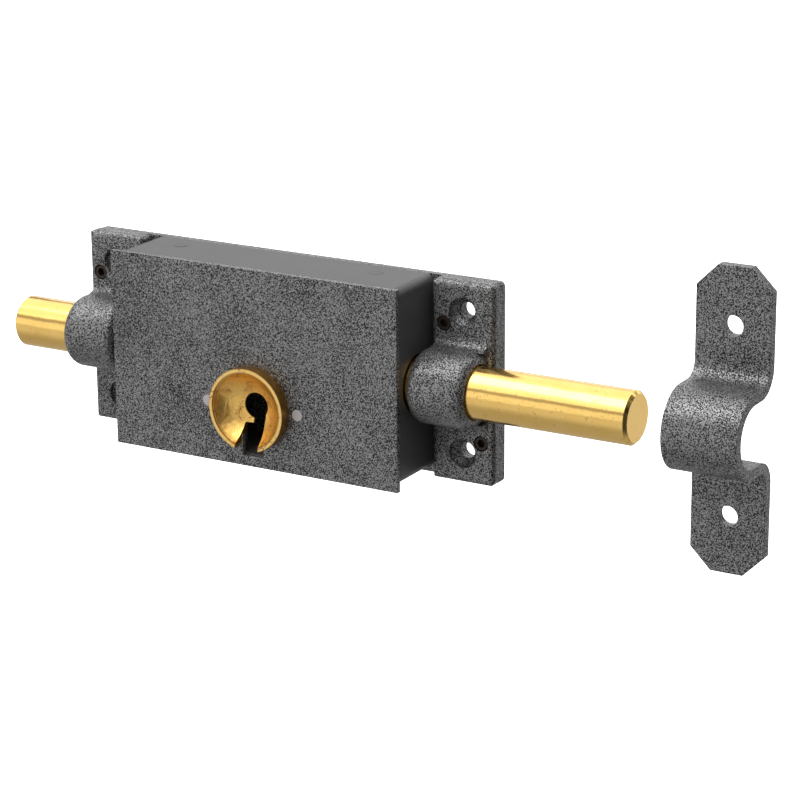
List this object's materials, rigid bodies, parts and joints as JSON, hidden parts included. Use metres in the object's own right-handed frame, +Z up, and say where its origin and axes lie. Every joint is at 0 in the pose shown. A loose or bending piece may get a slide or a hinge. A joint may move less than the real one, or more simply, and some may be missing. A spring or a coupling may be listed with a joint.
{
  "type": "surface-mounted lever deadbolt",
  "caption": "Surface deadbolt: round double-ended bolt in two bearing brackets, lever case with brass key dish, painted plates and a separate arched strap keep.",
  "frame": {"origin": "on the lock's back face that lies on the door, behind the key's axis and at the height of the bolt's axis", "axes": "+X along the bolt towards the keep, +Y into the door, +Z up"},
  "size_m": [0.3125, 0.0359, 0.113],
  "materials": {
    "hammer_paint": "hammered grey enamel",
    "case_paint": "smooth grey enamel",
    "bolt_brass": "bright brass-plated steel",
    "dish_brass": "aged solid brass",
    "black_steel": "black oxide",
    "rivet_steel": "ground flush",
    "plain_steel": "cold-rolled, zinc plated",
    "lever_brass": "stamped brass sheet",
    "spring_steel": "blued spring steel"
  },
  "bodies": {
    "lock_case": {"back_plate": "hammer_paint", "case_shell": "case_paint", "front_plate": "hammer_paint", "cover_rivets": "hammer_paint", "wall_rivets": "case_paint", "key_escutcheon": "dish_brass", "key_guide": "plain_steel", "guide_rivets": "rivet_steel", "key_bush": "lever_brass", "left_bracket": "hammer_paint", "right_bracket": "hammer_paint", "left_set_screws": "black_steel", "right_set_screws": "black_steel", "guide_stud": "plain_steel", "lever_pivot": "plain_steel", "lever_spacers": "plain_steel", "lever_retainer": "plain_steel", "lever_stop": "plain_steel", "spring_bar": "plain_steel", "lever_springs": "spring_steel"},
    "bolt_unit": {"bolt": "bolt_brass", "talon_plate": "plain_steel", "talon_screws": "plain_steel", "bolt_stump": "plain_steel"},
    "first_lever": {"lever_1": "lever_brass"},
    "second_lever": {"lever_2": "lever_brass"},
    "third_lever": {"lever_3": "lever_brass"},
    "fourth_lever": {"lever_4": "lever_brass"},
    "strap_keep": {"keep": "hammer_paint"}
  },
  "joints": [
    {"name": "bolt_throw", "type": "slide", "parent": "lock_case", "child": "bolt_unit", "axis": [1, 0, 0], "range_m": [-0.04, 0]},
    {"name": "keep_reach", "type": "slide", "parent": "lock_case", "child": "strap_keep", "axis": [1, 0, 0], "range_m": [-0.046, 0]},
    {"name": "lever_1_lift", "type": "hinge", "parent": "lock_case", "child": "first_lever", "pos_m": [0.052, -0.021, 0.024], "axis": [0, 1, 0], "range_deg": [-3, 0]},
    {"name": "lever_2_lift", "type": "hinge", "parent": "lock_case", "child": "second_lever", "pos_m": [0.052, -0.023, 0.024], "axis": [0, 1, 0], "range_deg": [-3, 0]},
    {"name": "lever_3_lift", "type": "hinge", "parent": "lock_case", "child": "third_lever", "pos_m": [0.052, -0.025, 0.024], "axis": [0, 1, 0], "range_deg": [-3, 0]},
    {"name": "lever_4_lift", "type": "hinge", "parent": "lock_case", "child": "fourth_lever", "pos_m": [0.052, -0.027, 0.024], "axis": [0, 1, 0], "range_deg": [-3, 0]}
  ]
}
